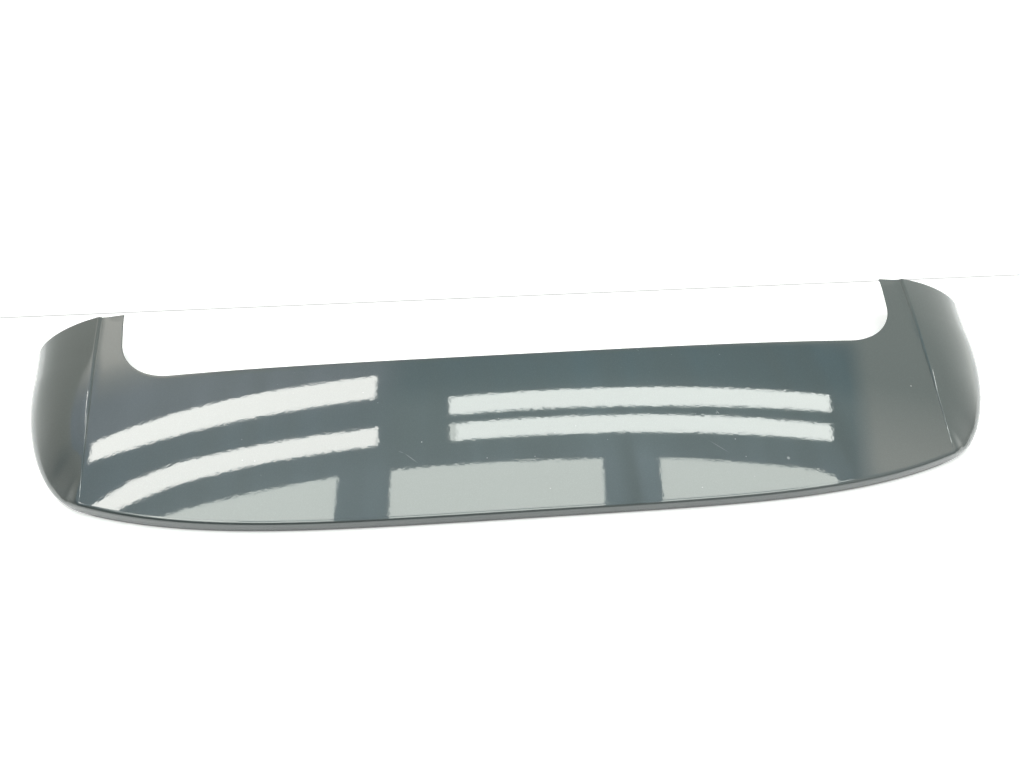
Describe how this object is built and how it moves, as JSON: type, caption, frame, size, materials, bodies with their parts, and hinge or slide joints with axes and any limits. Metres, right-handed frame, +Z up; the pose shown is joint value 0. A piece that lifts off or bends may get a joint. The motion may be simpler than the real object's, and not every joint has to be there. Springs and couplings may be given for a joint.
{
  "type": "car spoiler",
  "caption": "Rear roof spoiler for a hatchback or estate car: crowned blade, U-shaped notch, forward arms with creased winglets, glued lower shell, studs, locating pins and foam seals.",
  "frame": {"origin": "centre of the footprint at the level of the table that the rim rests on", "axes": "+X across the car towards the right side seen from behind, +Y towards the front of the car where the arms point, +Z up"},
  "size_m": [1.24, 0.316, 0.0548],
  "materials": {
    "paint": "glossy metallic dark blue-grey clear coat",
    "foam": "matt black closed-cell foam",
    "plate_steel": "pressed zinc-plated sheet",
    "stud_steel": "zinc-plated thread",
    "bracket_plastic": "moulded black, fine grain",
    "clip_plastic": "natural nylon"
  },
  "bodies": {
    "root": {"upper_shell": "paint", "lower_shell": "paint", "notch_seal": "foam", "stud_plates": "plate_steel", "mounting_studs": "stud_steel", "stud_seals": "foam", "land_pads": "foam", "arm_bracket_left": "bracket_plastic", "arm_bracket_right": "bracket_plastic", "arm_clips": "clip_plastic"}
  },
  "joints": []
}
